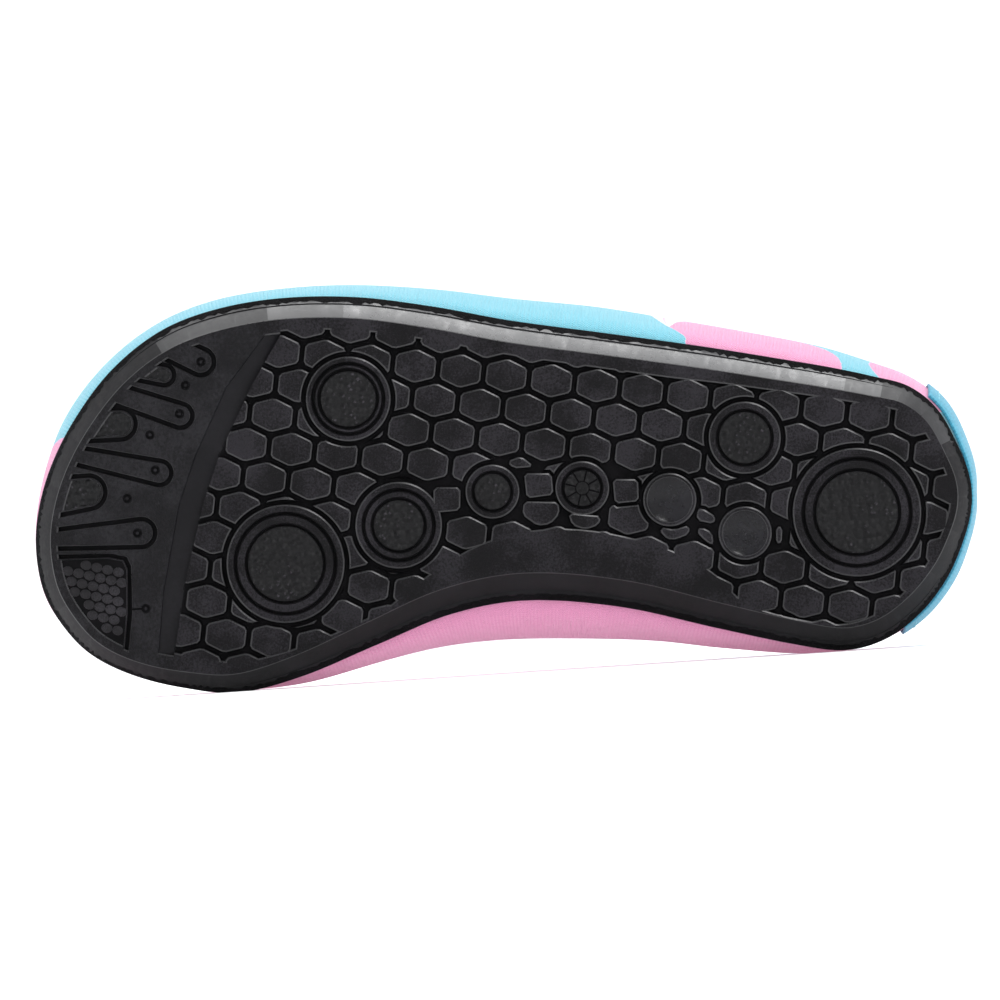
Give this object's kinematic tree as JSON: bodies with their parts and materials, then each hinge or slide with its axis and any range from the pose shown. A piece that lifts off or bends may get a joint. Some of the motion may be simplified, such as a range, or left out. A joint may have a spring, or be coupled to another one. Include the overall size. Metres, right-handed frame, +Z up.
{
  "type": "water shoe",
  "caption": "Child's slip-on left water shoe lying on its side: black rubber sole with honeycomb tread, stretch-knit upper open at the collar, foam insole and a heel patch.",
  "frame": {"origin": "on the floor under the middle of the shoe as it lies on its medial side", "axes": "+X from the toe to the heel, +Y from the tread to the top of the shoe, +Z up from the medial to the lateral side"},
  "size_m": [0.2034, 0.0638, 0.0859],
  "materials": {
    "black_rubber": "satin, moulded, fine grain on the lugs",
    "printed_knit": "matt stretch knit, printed in light blue, pink and white",
    "insole_foam": "matt cloth-covered foam",
    "heel_cloth": "matt blue cloth patch"
  },
  "bodies": {
    "root": {"outsole": "black_rubber", "upper": "printed_knit", "insole": "insole_foam", "heel_counter": "heel_cloth"}
  },
  "joints": []
}
